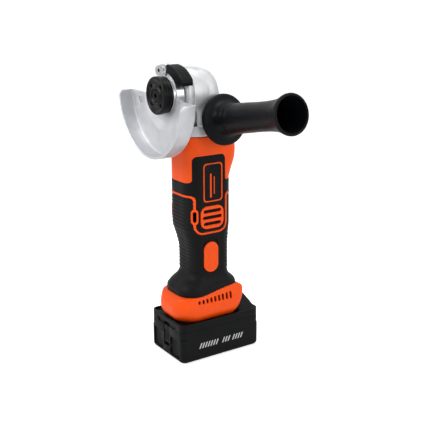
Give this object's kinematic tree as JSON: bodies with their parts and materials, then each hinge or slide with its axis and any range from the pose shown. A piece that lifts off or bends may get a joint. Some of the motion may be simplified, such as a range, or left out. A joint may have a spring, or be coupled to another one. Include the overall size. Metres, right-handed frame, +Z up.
{
  "type": "angle grinder",
  "caption": "Cordless angle grinder standing on its battery pack, with half-disc guard, clamp lever, side handle and slide switch.",
  "frame": {"origin": "centre of the battery pack's underside, where the tool stands", "axes": "+Z up along the body, -Y along the spindle towards the disc, +X towards the side handle"},
  "size_m": [0.2496, 0.1338, 0.3692],
  "materials": {
    "silver_paint": "satin",
    "orange_plastic": "satin",
    "black_plastic": "matt",
    "grip_rubber": "matt",
    "zinc_steel": "zinc plated",
    "steel": "ground",
    "black_steel": "blackened",
    "copper": "bare",
    "board": "satin",
    "cell_wrap": "gloss",
    "cable": "satin"
  },
  "bodies": {
    "tool": {"gear_case": "silver_paint", "bearing_box": "silver_paint", "bearing_box_screws": "zinc_steel", "gear_case_screws": "zinc_steel", "front_bearing": "steel", "rear_bearing": "steel", "housing_left": "orange_plastic", "housing_right": "orange_plastic", "side_panel_left": "black_plastic", "side_panel_right": "black_plastic", "grip_left": "grip_rubber", "grip_right": "grip_rubber", "label_plates": "black_plastic", "vent_grilles": "orange_plastic", "corner_vents": "orange_plastic", "housing_screws": "steel", "motor_bearing_top": "steel", "motor_bearing_low": "steel", "stator": "steel", "windings": "copper", "fan_baffle": "black_plastic", "controller": "black_plastic", "controller_board": "board", "phase_wires": "copper", "battery_leads": "cable", "microswitch": "black_plastic", "switch_track": "black_plastic", "terminal_holder": "black_plastic", "terminal_blades": "copper", "base_collar": "orange_plastic", "battery_foot": "black_plastic", "foot_screws": "steel", "lock_spring": "steel"},
    "spindle_set": {"spindle": "steel", "crown_gear": "steel", "backing_flange": "black_steel"},
    "nut": {"lock_nut": "black_steel"},
    "lock": {"lock_button": "black_plastic"},
    "rotor_set": {"motor_shaft": "steel", "rotor": "steel", "fan": "black_plastic", "pinion": "steel"},
    "guard_set": {"guard": "zinc_steel", "guard_collar": "zinc_steel", "clamp_band": "zinc_steel", "clamp_bracket": "zinc_steel", "lever_pin": "steel", "clamp_screw": "steel"},
    "lever": {"clamp_lever": "black_plastic"},
    "side_handle": {"handle_grip": "black_plastic", "handle_stud": "steel"},
    "switch": {"switch_cap": "orange_plastic", "switch_rod": "black_plastic"},
    "battery": {"pack_case": "black_plastic", "pack_lid": "black_plastic", "cells": "cell_wrap", "cell_frame": "black_plastic", "latch_spring": "steel"},
    "latch": {"pack_latch": "black_plastic"}
  },
  "joints": [
    {"name": "spindle_spin", "type": "hinge", "parent": "tool", "child": "spindle_set", "pos_m": [0, -0.03, 0.333], "axis": [0, -1, 0], "continuous": true},
    {"name": "rotor_spin", "type": "hinge", "parent": "tool", "child": "rotor_set", "pos_m": [0, -0.0052, 0.23], "axis": [0, 0, 1], "continuous": true},
    {"name": "nut_unscrew", "type": "slide", "parent": "spindle_set", "child": "nut", "axis": [0, -1, 0], "range_m": [0, 0.01]},
    {"name": "lock_press", "type": "slide", "parent": "tool", "child": "lock", "axis": [0, -1, 0], "range_m": [0, 0.003], "stiffness_N_per_m": 900, "springref_m": -0.004},
    {"name": "guard_turn", "type": "hinge", "parent": "tool", "child": "guard_set", "pos_m": [0, -0.05, 0.333], "axis": [0, -1, 0], "range_deg": [-75, 75]},
    {"name": "lever_open", "type": "hinge", "parent": "guard_set", "child": "lever", "pos_m": [-0.009, -0.046, 0.3625], "axis": [0, -1, 0], "range_deg": [0, 95]},
    {"name": "side_handle_unscrew", "type": "slide", "parent": "tool", "child": "side_handle", "axis": [0.9848, 0, 0.1736], "range_m": [0, 0.016]},
    {"name": "switch_slide", "type": "slide", "parent": "tool", "child": "switch", "axis": [0, 0, 1], "range_m": [0, 0.005]},
    {"name": "battery_slide", "type": "slide", "parent": "tool", "child": "battery", "axis": [0, -1, 0], "range_m": [0, 0.095]},
    {"name": "latch_press", "type": "slide", "parent": "battery", "child": "latch", "axis": [0, 0, -1], "range_m": [0, 0.004], "stiffness_N_per_m": 700, "springref_m": -0.004, "deforming": ["latch_spring"]}
  ],
  "couplings": [
    {"joint": "rotor_spin", "follows": "spindle_spin", "ratio": 3.7273}
  ]
}
